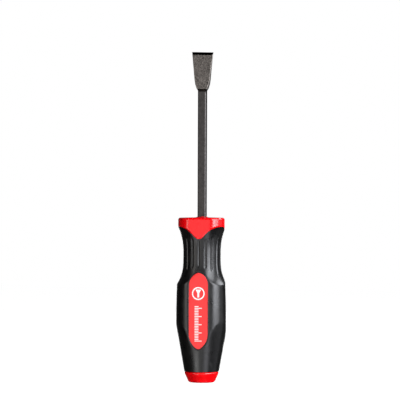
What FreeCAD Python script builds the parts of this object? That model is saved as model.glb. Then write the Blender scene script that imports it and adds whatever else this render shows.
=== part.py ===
import FreeCAD, Part
import math
import os

# A scraper with a bare square shank and a three-lobed handle, in millimetres.
# It stands on its butt: the origin is the centre of the butt face, +Z runs up the tool to the
# blade's edge, and the flat with the printed panel faces -Y.

# Overall
TOOL_LENGTH = 203.2
HANDLE_LENGTH = 101.9

# Three-lobed body: flats at -Y and 120 degrees either side of it, rounded lobes between them.
# Each section is a height, the distance of the flats and the distance of the lobes' crests.
LOBES = 3
BODY_SECTIONS = ((5.0, 12.8, 15.95), (38.0, 13.45, 16.15), (70.0, 12.35, 15.3))
BODY_TOP = BODY_SECTIONS[-1][0]

# Tail cone, from the cap up to the lobes
TAIL_BASE = 6.8
TAIL_RADIUS = 10.7
TAIL_SLOPE = 0.179

# Round waist. Away from its narrowest height the radius grows by rise * (distance / reach) ** power.
WAIST_HEIGHT = 77.6
WAIST_RADIUS = 11.55
SHOULDER_RULE = {"rise": 0.18, "reach": 6.2, "power": 3.0}
FLARE_RULE = {"rise": 0.28, "reach": 7.4, "power": 2.8}
SHOULDER_LOW = 58.5
FLARE_HIGH = 96.5

# Flutes round the waist
FLUTES = 18
FLUTE_WIDTH = 1.1
FLUTE_DEPTH = 0.7
FLUTE_LOW = 70.4
FLUTE_EXTRA_ON_LOBES = 5.5
FLUTE_HIGH = 88.0

# Collar
COLLAR_FLAT = 12.5
COLLAR_CREST = 15.0
COLLAR_PROUD = 0.3
COLLAR_EDGE_ROUND = 1.3
COLLAR_RIM_BAND = 1.5
COLLAR_FACE_RADIUS = 4.6
COLLAR_FACE_FALL = 0.08

# Hidden core
GRIP_WALL = 2.4
CORE_SHOULDER = 84.0
CORE_NOSE_RADIUS = 8.0
CORE_NOSE_TOP = 98.5
BORE_RADIUS = 5.2
BORE_TOP = 24.0

# End cap
CAP_FOOT_RADIUS = 7.8
CAP_WIDE_HEIGHT = 6.2
CAP_WIDE_RADIUS = 10.4
CAP_FOOT_ROUND = 1.1
CAP_EDGE_ROUND = 0.5
SPIGOT_TOP = 18.0
SPIGOT_WALL = 1.8
SPIGOT_FLOOR = 3.2

# Windows in the three flats and the panels that fill them
WINDOW_WIDTH = 12.0
WINDOW_BOTTOM = 20.9
WINDOW_LOW_SPRING = 30.4
WINDOW_HIGH_SPRING = 60.2
WINDOW_TOP = 67.7
PANEL_RECESS = 0.3
PANELS = (("panel_front", 0), ("panel_right", 120), ("panel_left", 240))

# Print on the front panel: a ring round a scraper sign, and a tick scale under it
INK = 0.06
RING_HEIGHT = 55.0
RING_RADIUS = 3.9
RING_LINE = 0.7
SIGN_EDGE_WIDTH = 3.4
SIGN_NECK_WIDTH = 1.1
SIGN_BLADE_LENGTH = 2.2
SIGN_LENGTH = 4.8
SCALE_LOW = 26.0
SCALE_TICKS = 22
SCALE_PITCH = 1.0
TICK_LINE = 0.45
TICK_LEFT = -2.2
TICK_SHORT = 2.4
TICK_LONG = 4.4
TICK_LONG_EVERY = 5

# Steel bar
SHANK_SIDE = 5.1
SHANK_CHAMFER = 0.8
TANG_BOTTOM = 34.0
TANG_POINT_LENGTH = 4.0
TANG_POINT_SIDE = 2.0
NOTCH_HEIGHTS = (46.0, 58.0, 70.0)
NOTCH_TALL = 3.0
NOTCH_DEPTH = 0.7
SHANK_INTO_BLADE = 1.0

# Blade
ROOT_HEIGHT = 179.6
ROOT_WIDTH = 5.4
ROOT_THICKNESS = 5.6
NECK_HEIGHT = 185.6
NECK_WIDTH = 9.35
EDGE_WIDTH = 13.15
FACE_TOP_THICKNESS = 1.0
BEVEL_HEIGHT = 1.7
EDGE_THICKNESS = 0.25

FAR = 40.0
UP = FreeCAD.Vector(0, 0, 1)
FRONT = FreeCAD.Vector(0, -1, 0)
ORIGIN = FreeCAD.Vector(0, 0, 0)


def at(x, y, z):
    return FreeCAD.Vector(x, y, z)


def polygon(points):
    return Part.Face(Part.makePolygon(list(points) + [points[0]]))


def slab(low, high):
    """The whole space between two heights."""
    return Part.makeBox(2 * FAR, 2 * FAR, high - low, at(-FAR, -FAR, low))


def turned(outline):
    """A solid turned round the tool's axis from (radius, height) corners."""
    return polygon([at(r, 0, z) for r, z in outline]).revolve(ORIGIN, UP, 360)


def round_bar(radius, low, high):
    return Part.makeCylinder(radius, high - low, at(0, 0, low))


def edges_between(shape, low, high, beyond=0):
    """The edges of a shape between two heights that reach beyond a distance from the axis."""
    boxes = [(edge, edge.BoundBox) for edge in shape.Edges]
    return [edge for edge, box in boxes if box.ZMin > low and box.ZMax < high and box.XMax > beyond]


# Rules of the handle's shape ------------------------------------------------------------------


def waist_radius(z):
    """Radius of the round waist at a height."""
    rule = SHOULDER_RULE if z < WAIST_HEIGHT else FLARE_RULE
    return WAIST_RADIUS + rule["rise"] * (abs(z - WAIST_HEIGHT) / rule["reach"]) ** rule["power"]


def flare_height(radius):
    """Height above the waist at which the flare reaches a radius."""
    growth = (radius - WAIST_RADIUS) / FLARE_RULE["rise"]
    return WAIST_HEIGHT + FLARE_RULE["reach"] * growth ** (1 / FLARE_RULE["power"])


def lobe_arc(flat, crest):
    """Distance of the lobe arcs' centres from the axis, and the arcs' radius."""
    centre = 2 * (crest - flat)
    return centre, crest - centre


def lobe_radius(turn, flat, crest):
    """Radius of the three-lobed outline at a turn from the middle of a flat."""
    centre, arc = lobe_arc(flat, crest)
    half = math.pi / LOBES
    off_flat = abs((turn + half) % (2 * half) - half)
    if off_flat < math.atan2(centre * math.sin(half), flat):
        return flat / math.cos(off_flat)
    off_crest = half - off_flat
    return centre * math.cos(off_crest) + math.sqrt(arc**2 - (centre * math.sin(off_crest)) ** 2)


def lobe_wire(z, flat, crest):
    """Rounded triangle: three tangent arcs joined by three straight flats."""
    centre, arc = lobe_arc(flat, crest)
    third = 2 * math.pi / LOBES

    def on_arc(lobe, heading):
        crest_heading = -math.pi / 2 + (lobe + 0.5) * third
        hub = at(centre * math.cos(crest_heading), centre * math.sin(crest_heading), z)
        return hub + at(arc * math.cos(heading), arc * math.sin(heading), 0)

    edges = []
    for lobe in range(LOBES):
        flat_heading = -math.pi / 2 + lobe * third
        start = on_arc(lobe, flat_heading)
        crest_point = on_arc(lobe, flat_heading + third / 2)
        end = on_arc(lobe, flat_heading + third)
        edges.append(Part.Arc(start, crest_point, end).toShape())
        edges.append(Part.makeLine(end, on_arc(lobe + 1, flat_heading + third)))
    return Part.Wire(edges)


def lobed_barrel(inset):
    """The three-lobed barrel of the body, widest at the belly, drawn in by an inset."""
    wires = [lobe_wire(z, flat - inset, crest - inset) for z, flat, crest in BODY_SECTIONS]
    return Part.makeLoft(wires, True, False)


def tail_cone(inset):
    """The tail cone, carried on outwards to the shoulder's height."""
    wide = TAIL_RADIUS + TAIL_SLOPE * (SHOULDER_LOW - TAIL_BASE) - inset
    low = (TAIL_RADIUS - inset, TAIL_BASE)
    return turned([(0, TAIL_BASE), low, (wide, SHOULDER_LOW), (0, SHOULDER_LOW)])


def round_waist(inset):
    """The waist turned from one smooth curve, from below the shoulder to inside the collar."""
    spans = 12
    points = []
    for k in range(spans + 1):
        z = SHOULDER_LOW + (FLARE_HIGH - SHOULDER_LOW) * k / spans
        points.append(at(waist_radius(z) - inset, 0, z))
    curve = Part.BSplineCurve()
    curve.interpolate(points)
    low, high = at(0, 0, SHOULDER_LOW), at(0, 0, FLARE_HIGH)
    outline = [
        Part.makeLine(low, points[0]),
        curve.toShape(),
        Part.makeLine(points[-1], high),
        Part.makeLine(high, low),
    ]
    return Part.Face(Part.Wire(outline)).revolve(ORIGIN, UP, 360)


def handle_form(inset):
    """The handle's outer form under the collar, drawn in by an inset all round."""
    rounds = tail_cone(inset).fuse(round_waist(inset))
    body = rounds.common(lobed_barrel(inset))
    waist = rounds.common(slab(BODY_TOP, FLARE_HIGH))
    return body.fuse(waist).removeSplitter()


# The wavy joint between grip and collar -------------------------------------------------------


def joint_height(turn):
    """Height of the joint: where the flare comes up to the collar's side."""
    side = lobe_radius(turn, COLLAR_FLAT, COLLAR_CREST)
    return flare_height(side - COLLAR_PROUD)


def joint_curve(radius):
    steps = 36
    points = []
    for k in range(steps):
        turn = 2 * math.pi * k / steps
        heading = turn - math.pi / 2
        points.append(at(radius * math.cos(heading), radius * math.sin(heading), joint_height(turn)))
    curve = Part.BSplineCurve()
    curve.interpolate(points, PeriodicFlag=True)
    return curve.toShape()


def under_joint(depth):
    """The ring of space under the wavy joint, for a depth down from it."""
    inside = CORE_NOSE_RADIUS / 2
    wave = Part.makeRuledSurface(joint_curve(inside), joint_curve(FAR))
    return wave.extrude(at(0, 0, -depth))


# Sub-parts ------------------------------------------------------------------------------------


def square_section(z, side, chamfer):
    """A square with cut corners, its sides square to X and Y."""
    half = side / 2
    flat = half - chamfer
    corners = []
    for quarter in range(4):
        turn = quarter * math.pi / 2
        for x, y in ((half, -flat), (half, flat)):
            across = x * math.cos(turn) - y * math.sin(turn)
            along = x * math.sin(turn) + y * math.cos(turn)
            corners.append(at(across, along, z))
    return Part.makePolygon(corners + [corners[0]])


def tang_notches():
    """Shallow notches in pairs across the tang, which key it in the core."""
    notches = []
    reach = SHANK_SIDE
    for height in NOTCH_HEIGHTS:
        for side in (-1, 1):
            middle = side * (SHANK_SIDE / 2 - NOTCH_DEPTH + reach / 2)
            corner = at(middle - reach / 2, -reach, height - NOTCH_TALL / 2)
            notches.append(Part.makeBox(reach, 2 * reach, NOTCH_TALL, corner))
    return notches


def square_bar():
    """The shank and its pointed, notched tang."""
    side, chamfer = SHANK_SIDE, SHANK_CHAMFER
    shoulder = TANG_BOTTOM + TANG_POINT_LENGTH
    point_chamfer = chamfer * TANG_POINT_SIDE / side
    point = [
        square_section(TANG_BOTTOM, TANG_POINT_SIDE, point_chamfer),
        square_section(shoulder, side, chamfer),
    ]
    bar = Part.Face(square_section(shoulder, side, chamfer))
    bar = bar.extrude(at(0, 0, ROOT_HEIGHT + SHANK_INTO_BLADE - shoulder))
    return Part.makeLoft(point, True, True).fuse(bar).cut(Part.makeCompound(tang_notches()))


def blade_outline():
    """The blade from the front: a quick curve out of the shank, then straight flaring sides."""
    lean = math.atan2((EDGE_WIDTH - NECK_WIDTH) / 2, TOOL_LENGTH - NECK_HEIGHT)
    edges = []
    for side in (1, -1):
        root = at(side * ROOT_WIDTH / 2, 0, ROOT_HEIGHT)
        neck = at(side * NECK_WIDTH / 2, 0, NECK_HEIGHT)
        tip = at(side * EDGE_WIDTH / 2, 0, TOOL_LENGTH)
        curve = Part.BSplineCurve()
        out = at(side, 0, 0.55)
        onwards = at(side * math.sin(lean), 0, math.cos(lean))
        curve.interpolate([root, neck], InitialTangent=out * 5, FinalTangent=onwards * 5)
        edges.append((root, tip, [curve.toShape(), Part.makeLine(neck, tip)]))
    (root_r, tip_r, right), (root_l, tip_l, left) = edges
    across = [Part.makeLine(tip_r, tip_l), Part.makeLine(root_l, root_r)]
    return Part.Face(Part.Wire(Part.sortEdges(right + left + across)[0]))


def blade_wedge():
    """The blade from the side: a wedge from the root to the face's top, with one ground bevel."""
    bevel_foot = TOOL_LENGTH - BEVEL_HEIGHT
    thick, thin = ROOT_THICKNESS / 2, FACE_TOP_THICKNESS / 2
    outline = [
        at(0, -thick, ROOT_HEIGHT),
        at(0, thick, ROOT_HEIGHT),
        at(0, thin, TOOL_LENGTH),
        at(0, thin - EDGE_THICKNESS, TOOL_LENGTH),
        at(0, -thin, bevel_foot),
    ]
    return polygon(outline).extrude(at(2 * FAR, 0, 0)).translated(at(-FAR, 0, 0))


def blade_shank():
    plate = blade_outline().extrude(at(0, 2 * FAR, 0)).translated(at(0, -FAR, 0))
    blade = plate.common(blade_wedge())
    return square_bar().fuse(blade).removeSplitter()


def handle_core(bar):
    """The hard core moulded on the tang, with a rear bore for the cap's spigot."""
    body = handle_form(GRIP_WALL).common(slab(TAIL_BASE, CORE_SHOULDER))
    nose = round_bar(CORE_NOSE_RADIUS, CORE_SHOULDER, CORE_NOSE_TOP)
    bore = round_bar(BORE_RADIUS, TAIL_BASE, BORE_TOP)
    return body.fuse(nose).cut(bore).cut(bar).removeSplitter()


def front_collar(bar):
    """The collar: three-lobed sides, a rounded rim, a slightly domed face and a wavy lower edge."""
    foot = WAIST_HEIGHT
    side = Part.Face(lobe_wire(foot, COLLAR_FLAT, COLLAR_CREST))
    side = side.extrude(at(0, 0, HANDLE_LENGTH - foot))
    fallen = HANDLE_LENGTH - COLLAR_FACE_FALL * (FAR - COLLAR_FACE_RADIUS)
    face_edge = (COLLAR_FACE_RADIUS, HANDLE_LENGTH)
    dome = turned([(0, foot), (FAR, foot), (FAR, fallen), face_edge, (0, HANDLE_LENGTH)])
    block = side.common(dome)
    rim = edges_between(block, HANDLE_LENGTH - COLLAR_RIM_BAND, HANDLE_LENGTH - 0.05)
    block = block.makeFillet(COLLAR_EDGE_ROUND, rim)
    nose = round_bar(CORE_NOSE_RADIUS, foot, CORE_NOSE_TOP)
    return block.cut(under_joint(FAR)).cut(nose).cut(bar)


def flute_cutter(low):
    """One long, shallow groove up from a height, fading out at both ends, lying to +X."""
    spans = 6
    points = []
    for k in range(spans + 1):
        share = k / spans
        z = low + (FLUTE_HIGH - low) * share
        points.append(at(waist_radius(z) - FLUTE_DEPTH * math.sin(math.pi * share), 0, z))
    curve = Part.BSplineCurve()
    curve.interpolate(points)
    outer_high, outer_low = at(FAR, 0, FLUTE_HIGH), at(FAR, 0, low)
    outline = [
        curve.toShape(),
        Part.makeLine(points[-1], outer_high),
        Part.makeLine(outer_high, outer_low),
        Part.makeLine(outer_low, points[0]),
    ]
    face = Part.Face(Part.Wire(outline))
    return face.extrude(at(0, FLUTE_WIDTH, 0)).translated(at(0, -FLUTE_WIDTH / 2, 0))


def flutes():
    """Grooves all round the waist, one on each flat's middle, reaching lower on the lobes."""
    cutters = []
    per_lobe = FLUTES // LOBES
    for k in range(FLUTES):
        off_flat = min(k % per_lobe, per_lobe - k % per_lobe) / (per_lobe / 2)
        cutter = flute_cutter(FLUTE_LOW - FLUTE_EXTRA_ON_LOBES * off_flat**2)
        cutter.rotate(ORIGIN, UP, k * 360 / FLUTES - 90)
        cutters.append(cutter)
    return Part.makeCompound(cutters)


def window_prism():
    """A window's outline pushed out through the front flat: straight sides, an arch at each end."""
    half = WINDOW_WIDTH / 2

    def arch_point(spring, tip, share):
        rise = tip - spring
        radius = (half**2 + rise**2) / (2 * half)
        sweep = math.asin(abs(rise) / radius) * share
        across = half - radius + radius * math.cos(sweep)
        return across, spring + math.copysign(radius * math.sin(sweep), rise)

    edges = []
    for spring, tip in ((WINDOW_LOW_SPRING, WINDOW_BOTTOM), (WINDOW_HIGH_SPRING, WINDOW_TOP)):
        for side in (1, -1):
            ends = [arch_point(spring, tip, share) for share in (0, 0.5, 1)]
            foot, middle, top = [at(side * x, 0, z) for x, z in ends]
            edges.append(Part.Arc(foot, middle, top).toShape())
    for side in (1, -1):
        low, high = at(side * half, 0, WINDOW_LOW_SPRING), at(side * half, 0, WINDOW_HIGH_SPRING)
        edges.append(Part.makeLine(low, high))
    outline = Part.Wire(Part.sortEdges(edges)[0])
    return Part.Face(outline).extrude(FRONT * FAR)


def on_flat(shape, degrees):
    turned_shape = shape.copy()
    turned_shape.rotate(ORIGIN, UP, degrees)
    return turned_shape


def grip_sleeve(core_form):
    """The soft grip round the core, open at three windows, fluted at the waist."""
    outer = handle_form(0).common(slab(TAIL_BASE, CORE_SHOULDER))
    flare = handle_form(0).common(slab(CORE_SHOULDER, FLARE_HIGH)).common(under_joint(FAR))
    nose = round_bar(CORE_NOSE_RADIUS, CORE_SHOULDER, FLARE_HIGH)
    sleeve = outer.cut(core_form).fuse(flare.cut(nose))
    windows = [on_flat(window_prism(), degrees) for name, degrees in PANELS]
    return sleeve.cut(Part.makeCompound(windows)).cut(flutes()).removeSplitter()


def panel(core_form, degrees):
    """A panel that fills its window and stops a little below the grip's surface."""
    front = handle_form(PANEL_RECESS).cut(core_form).common(window_prism())
    return on_flat(front, degrees)


def end_cap():
    """A frustum with a rounded rim and a hollow spigot."""
    slope = (CAP_WIDE_RADIUS - CAP_FOOT_RADIUS) / CAP_WIDE_HEIGHT
    wide = CAP_FOOT_RADIUS + slope * TAIL_BASE
    inner = BORE_RADIUS - SPIGOT_WALL
    cap = turned([
        (0, 0),
        (CAP_FOOT_RADIUS, 0),
        (wide, TAIL_BASE),
        (BORE_RADIUS, TAIL_BASE),
        (BORE_RADIUS, SPIGOT_TOP),
        (inner, SPIGOT_TOP),
        (inner, SPIGOT_FLOOR),
        (0, SPIGOT_FLOOR),
    ])
    foot_edge = edges_between(cap, -0.1, 0.1)
    top_edge = edges_between(cap, TAIL_BASE - 0.1, TAIL_BASE + 0.1, BORE_RADIUS + 1)
    return cap.makeFillet(CAP_FOOT_ROUND, foot_edge).makeFillet(CAP_EDGE_ROUND, top_edge)


def panel_print():
    """Generic ink on the front panel: a ring round a scraper sign, and a tick scale."""
    ring = Part.makeCylinder(RING_RADIUS, FAR, at(0, 0, RING_HEIGHT), FRONT)
    ring = ring.cut(Part.makeCylinder(RING_RADIUS - RING_LINE, FAR, at(0, 0, RING_HEIGHT), FRONT))
    top = RING_HEIGHT + SIGN_LENGTH / 2
    neck = top - SIGN_BLADE_LENGTH
    half_edge, half_neck = SIGN_EDGE_WIDTH / 2, SIGN_NECK_WIDTH / 2
    sign = polygon([
        at(-half_edge, 0, top),
        at(half_edge, 0, top),
        at(half_neck, 0, neck),
        at(half_neck, 0, top - SIGN_LENGTH),
        at(-half_neck, 0, top - SIGN_LENGTH),
        at(-half_neck, 0, neck),
    ]).extrude(FRONT * FAR)
    marks = [ring, sign]
    for k in range(SCALE_TICKS):
        length = TICK_LONG if k % TICK_LONG_EVERY == 0 else TICK_SHORT
        corner = at(TICK_LEFT, -FAR, SCALE_LOW + k * SCALE_PITCH)
        marks.append(Part.makeBox(length, FAR, TICK_LINE, corner))
    ink = handle_form(PANEL_RECESS - INK).cut(handle_form(PANEL_RECESS))
    return Part.makeCompound([ink.common(mark) for mark in marks])


def main():
    bar = blade_shank()
    core_form = handle_form(GRIP_WALL)
    parts = {
        "blade_shank": bar,
        "handle_core": handle_core(bar),
        "front_collar": front_collar(bar),
        "grip_sleeve": grip_sleeve(core_form),
        "end_cap": end_cap(),
        "panel_print": panel_print(),
    }
    for name, degrees in PANELS:
        parts[name] = panel(core_form, degrees)
    os.makedirs("parts", exist_ok=True)
    for name, shape in parts.items():
        shape.exportStep(f"parts/{name}.step")
        print(name, len(shape.Solids), round(shape.Volume, 2), shape.isValid())


main()
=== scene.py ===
import bmesh
import bpy
import math
from mathutils import Matrix, Vector, noise


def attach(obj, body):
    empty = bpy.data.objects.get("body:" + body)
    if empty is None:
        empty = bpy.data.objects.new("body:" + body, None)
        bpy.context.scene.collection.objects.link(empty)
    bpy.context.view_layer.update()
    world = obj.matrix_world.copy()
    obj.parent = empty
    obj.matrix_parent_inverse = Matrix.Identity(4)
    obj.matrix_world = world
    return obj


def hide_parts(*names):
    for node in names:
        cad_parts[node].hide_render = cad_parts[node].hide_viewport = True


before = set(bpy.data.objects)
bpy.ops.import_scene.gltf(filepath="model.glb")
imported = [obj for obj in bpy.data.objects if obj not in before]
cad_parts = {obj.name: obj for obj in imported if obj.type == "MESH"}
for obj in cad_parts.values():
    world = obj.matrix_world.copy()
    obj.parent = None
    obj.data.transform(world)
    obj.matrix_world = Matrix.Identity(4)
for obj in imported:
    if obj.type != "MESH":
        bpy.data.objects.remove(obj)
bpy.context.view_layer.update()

# A scraper with a square blackened shank and a three-lobed, two-colour handle.
# Sizes are in millimetres and become metres when a piece is finished. The tool stands on its butt,
# +Z runs up to the blade's edge and the flat with the printed panel faces -Y. A turn is an angle
# about the axis, in radians, from the middle of that flat.

MM = 0.001
BODY = "root"
THIRD = 2 * math.pi / 3
MATH = "ShaderNodeMath"

# Handle: three flats and three lobes. The barrel is widest at the belly and draws in to both ends.
BELLY_HEIGHT = 38.0
BARREL_TOP = 70.0
BELLY_FLAT = 13.45
BELLY_CREST = 16.15
UPPER_REACH = 32.0
UPPER_FLAT_FALL = 1.10
UPPER_CREST_FALL = 0.90
LOWER_REACH = 33.0
LOWER_FLAT_FALL = 0.65
LOWER_CREST_FALL = 0.20

# Tail cone and round waist
TAIL_BASE = 6.8
TAIL_RADIUS = 10.7
TAIL_SLOPE = 0.179
WAIST_HEIGHT = 77.6
WAIST_RADIUS = 11.55
SHOULDER_RISE = 0.18
SHOULDER_REACH = 6.2
SHOULDER_POWER = 3.0
FLARE_RISE = 0.28
FLARE_REACH = 7.4
FLARE_POWER = 2.8
CREASE_SOFTNESS = 0.3
GRIP_WALL = 2.4

# Collar
COLLAR_FLAT = 12.5
COLLAR_CREST = 15.0
COLLAR_PROUD = 0.3
JOINT_LIFT = 0.55
COLLAR_TOP = 101.4
COLLAR_LIP = 0.85
COLLAR_RIM = 1.3
COLLAR_BORE = 2.3
COLLAR_BOTTOM = 99.0
CUFF_RADIUS = 4.4
CUFF_RISE = 0.6
FACE_FALL = 0.02
FACE_DOME = 0.02
MOULD_LINE_RISE = 0.05
MOULD_LINE_SPREAD = 0.8
NOSE_RADIUS = 8.0

# Windows and panels
WINDOW_HALF = 6.0
WINDOW_NOSE = 2.2
LOW_SPRING = 30.4
LOW_TIP = 20.9
HIGH_SPRING = 60.2
HIGH_TIP = 67.7
PANEL_RECESS = 0.3
BEAD_OUTSET = 0.24
BEAD_SUNK = 0.32

# End cap: a cone that bows out a little, and a spigot that reaches into the core's bore
CAP_CONE_RADIUS = 7.85
CAP_CONE_SLOPE = 0.56
CAP_CONE_BOW = 0.013
CAP_FOOT_ROUND = 1.6
CAP_RIM_ROUND = 0.92
CAP_WIDE_RADIUS = 10.58
CAP_LEAN = 22
SPIGOT_RADIUS = 5.2
SPIGOT_BORE = 3.4
SPIGOT_TOP = 18.0
CAP_FLOOR = 3.2
CENTRE_HOLE = 0.2

# Bar: a square shank above, a notched tang with a pointed end inside the handle
SHANK_SIDE = 5.1
SHANK_CORNER = 0.52
SHANK_BOTTOM = 96.0
TANG_BOTTOM = 34.0
TANG_POINT = 2.0
TANG_POINT_LENGTH = 4.0
NOTCH_HEIGHTS = (46.0, 58.0, 70.0)
NOTCH_TALL = 3.0
NOTCH_DEPTH = 0.7

# Blade: quick shoulders, given as heights and widths, then straight flaring sides
TOOL_TOP = 203.2
BLADE_ROOT = 179.6
BLADE_SHOULDERS = (
    (179.3, 5.1), (179.8, 5.6), (180.4, 6.3), (181.0, 7.0), (182.3, 7.8), (183.5, 8.6), (186.0, 9.45)
)
BLADE_FLARE = 0.218
BLADE_CORNER = 0.42
ROOT_THICKNESS = 6.0
ROOT_STEP = 1.1
FACE_TOP_THICKNESS = 1.0
BEVEL_HEIGHT = 1.7
EDGE_THICKNESS = 0.25
EDGE_CORNER = 0.12
EDGE_SLANT = 0.023
# How far a painted shadow band reaches above and below the blade's root
SHADOW_BAND_ABOVE_ROOT = 0.85
SHADOW_BAND_BELOW_ROOT = 0.8


# Making and finishing ------------------------------------------------------------------------


def add(tree, kind, *inputs, named=None, **settings):
    """Adds a node with its settings, and links or sets its inputs, by place or by name."""
    node = tree.nodes.new(kind)
    for setting, value in settings.items():
        setattr(node, setting, value)
    enabled = [socket for socket in node.inputs if socket.enabled]
    wanted = list(zip(enabled, inputs))
    for name, value in (named or {}).items():
        wanted.append((next(socket for socket in enabled if socket.name == name), value))
    for socket, value in wanted:
        if isinstance(value, bpy.types.Node):
            value = next(output for output in value.outputs if output.enabled)
        if isinstance(value, bpy.types.NodeSocket):
            tree.links.new(value, socket)
        else:
            socket.default_value = value
    return node


def colour(code):
    """An sRGB hex value as linear red, green, blue and alpha."""
    parts = [int(code[i:i + 2], 16) / 255 for i in (0, 2, 4)]
    linear = [c / 12.92 if c <= 0.04045 else ((c + 0.055) / 1.055) ** 2.4 for c in parts]
    return (*linear, 1.0)


def keep(mesh, name):
    """A new object for a mesh, in the scene."""
    piece = bpy.data.objects.new(name, mesh)
    bpy.context.scene.collection.objects.link(piece)
    return piece


def finish_piece(piece, slot, *nodes):
    """Rides a finished piece on the tool and hides the nodes it stands for; the slot it is given is not
    used.
    """
    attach(piece, BODY)
    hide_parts(*nodes)


def skin(name, rings, material, closed_loop=False, sharp=60):
    """A closed skin over rings of points, given in millimetres, all with the same count."""
    mesh = bpy.data.meshes.new(name)
    count = len(rings[0])
    points = [Vector(p) * MM for ring in rings for p in ring]
    faces = []
    spans = len(rings) if closed_loop else len(rings) - 1
    for row in range(spans):
        low, high = row * count, (row + 1) % len(rings) * count
        for k in range(count):
            onwards = (k + 1) % count
            faces.append((low + k, low + onwards, high + onwards, high + k))
    if not closed_loop:
        faces.append(tuple(reversed(range(count))))
        faces.append(tuple(range(len(points) - count, len(points))))
    mesh.from_pydata(points, [], faces)
    mesh.materials.append(material)
    tidy(mesh, sharp)
    return mesh


def tidy(mesh, sharp=60):
    """Merges doubles, turns every face outwards, and shades the skin smooth but for its edges."""
    work = bmesh.new()
    work.from_mesh(mesh)
    bmesh.ops.remove_doubles(work, verts=work.verts, dist=0.001 * MM)
    bmesh.ops.recalc_face_normals(work, faces=work.faces)
    if work.calc_volume(signed=True) < 0:
        bmesh.ops.reverse_faces(work, faces=work.faces)
    for face in work.faces:
        face.smooth = True
    for edge in work.edges:
        edge.smooth = edge.calc_face_angle(0) < math.radians(sharp)
    work.to_mesh(mesh)
    work.free()


# Rules of the handle's shape ------------------------------------------------------------------


def barrel_sizes(z):
    """Distances of the barrel's flats and crests from the axis at a height."""
    up = (max(min(z, BARREL_TOP) - BELLY_HEIGHT, 0) / UPPER_REACH) ** 2
    down = (max(BELLY_HEIGHT - z, 0) / LOWER_REACH) ** 2
    flat = BELLY_FLAT - UPPER_FLAT_FALL * up - LOWER_FLAT_FALL * down
    crest = BELLY_CREST - UPPER_CREST_FALL * up - LOWER_CREST_FALL * down
    return flat, crest


def round_radius(z):
    """Radius of the round parts: the tail cone below, the waist above."""
    cone = TAIL_RADIUS + TAIL_SLOPE * (z - TAIL_BASE)
    shoulder = SHOULDER_RISE * (max(WAIST_HEIGHT - z, 0) / SHOULDER_REACH) ** SHOULDER_POWER
    flare = FLARE_RISE * (max(z - WAIST_HEIGHT, 0) / FLARE_REACH) ** FLARE_POWER
    return min(cone, WAIST_RADIUS + shoulder + flare)


def lobe_radius(turn, flat, crest):
    """Radius of the three-lobed outline at a turn from the middle of a flat."""
    hub = 2 * (crest - flat)
    arc = crest - hub
    off_flat = abs((turn + THIRD / 2) % THIRD - THIRD / 2)
    if flat * math.tan(off_flat) < hub * math.sin(THIRD / 2):
        return flat / math.cos(off_flat)
    off_crest = THIRD / 2 - off_flat
    return hub * math.cos(off_crest) + math.sqrt(arc**2 - (hub * math.sin(off_crest)) ** 2)


def joint_height(turn):
    """Height of the wavy joint between grip and collar."""
    side = lobe_radius(turn, COLLAR_FLAT, COLLAR_CREST) - COLLAR_PROUD
    climb = FLARE_REACH * ((side - WAIST_RADIUS) / FLARE_RISE) ** (1 / FLARE_POWER)
    return WAIST_HEIGHT + climb + JOINT_LIFT


def front_depth(x, z):
    """Distance of the grip's front surface from the tool's mid-plane, at a place on the front."""
    flat, crest = barrel_sizes(z)
    hub = 2 * (crest - flat)
    past_flat = max(abs(x) - hub * math.sin(THIRD / 2), 0)
    arc = crest - hub
    on_barrel = flat - arc + math.sqrt(arc**2 - past_flat**2)
    on_round = math.sqrt(round_radius(z) ** 2 - x**2)
    return min(on_barrel, on_round)


def window_outline(inset):
    """The window's outline drawn in by an inset: straight sides, arches with rounded noses."""
    steps = 10
    outline = []
    for spring, tip in ((HIGH_SPRING, HIGH_TIP), (LOW_SPRING, LOW_TIP)):
        rise = abs(tip - spring)
        spread = WINDOW_HALF**2 - WINDOW_NOSE**2 + (rise - WINDOW_NOSE) ** 2
        radius = spread / (2 * (WINDOW_HALF - WINDOW_NOSE))
        nose = max(WINDOW_NOSE, inset)
        height = math.sqrt(max((radius - nose) ** 2 - (radius - WINDOW_HALF) ** 2, 0))
        meet = math.atan2(height, radius - WINDOW_HALF)
        side = []
        for k in range(steps + 1):
            heading = meet * k / steps
            x = WINDOW_HALF - radius + (radius - inset) * math.cos(heading)
            side.append((x, (radius - inset) * math.sin(heading)))
        for k in range(1, steps + 1):
            heading = meet + (math.pi / 2 - meet) * k / steps
            x = (nose - inset) * math.cos(heading)
            side.append((x, height + (nose - inset) * math.sin(heading)))
        way = 1 if tip > spring else -1
        right = [(x, spring + way * up) for x, up in side]
        left = [(-x, z) for x, z in reversed(right[:-1])]
        outline += right + left if way > 0 else [(-x, z) for x, z in right + left]
    return with_straight_sides(outline)


def with_straight_sides(outline):
    """The outline with points down its two long straight sides."""
    straight = 40
    full = []
    for k, (x, z) in enumerate(outline):
        full.append((x, z))
        next_x, next_z = outline[(k + 1) % len(outline)]
        if abs(next_z - z) > 5:
            for step in range(1, straight):
                share = step / straight
                full.append((x + (next_x - x) * share, z + (next_z - z) * share))
    return full


# Geometry node trees --------------------------------------------------------------------------


def start_tree(name, sizes):
    """An empty tree with named inputs; gives the tree and its input sockets."""
    tree = bpy.data.node_groups.new(name, "GeometryNodeTree")
    tree.interface.new_socket("Geometry", in_out="INPUT", socket_type="NodeSocketGeometry")
    tree.interface.new_socket("Geometry", in_out="OUTPUT", socket_type="NodeSocketGeometry")
    kinds = {int: "NodeSocketInt", float: "NodeSocketFloat"}
    for label, value in sizes.items():
        kind = kinds.get(type(value), "NodeSocketMaterial")
        tree.interface.new_socket(label, in_out="INPUT", socket_type=kind)
    given = add(tree, "NodeGroupInput").outputs
    return tree, given


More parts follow.
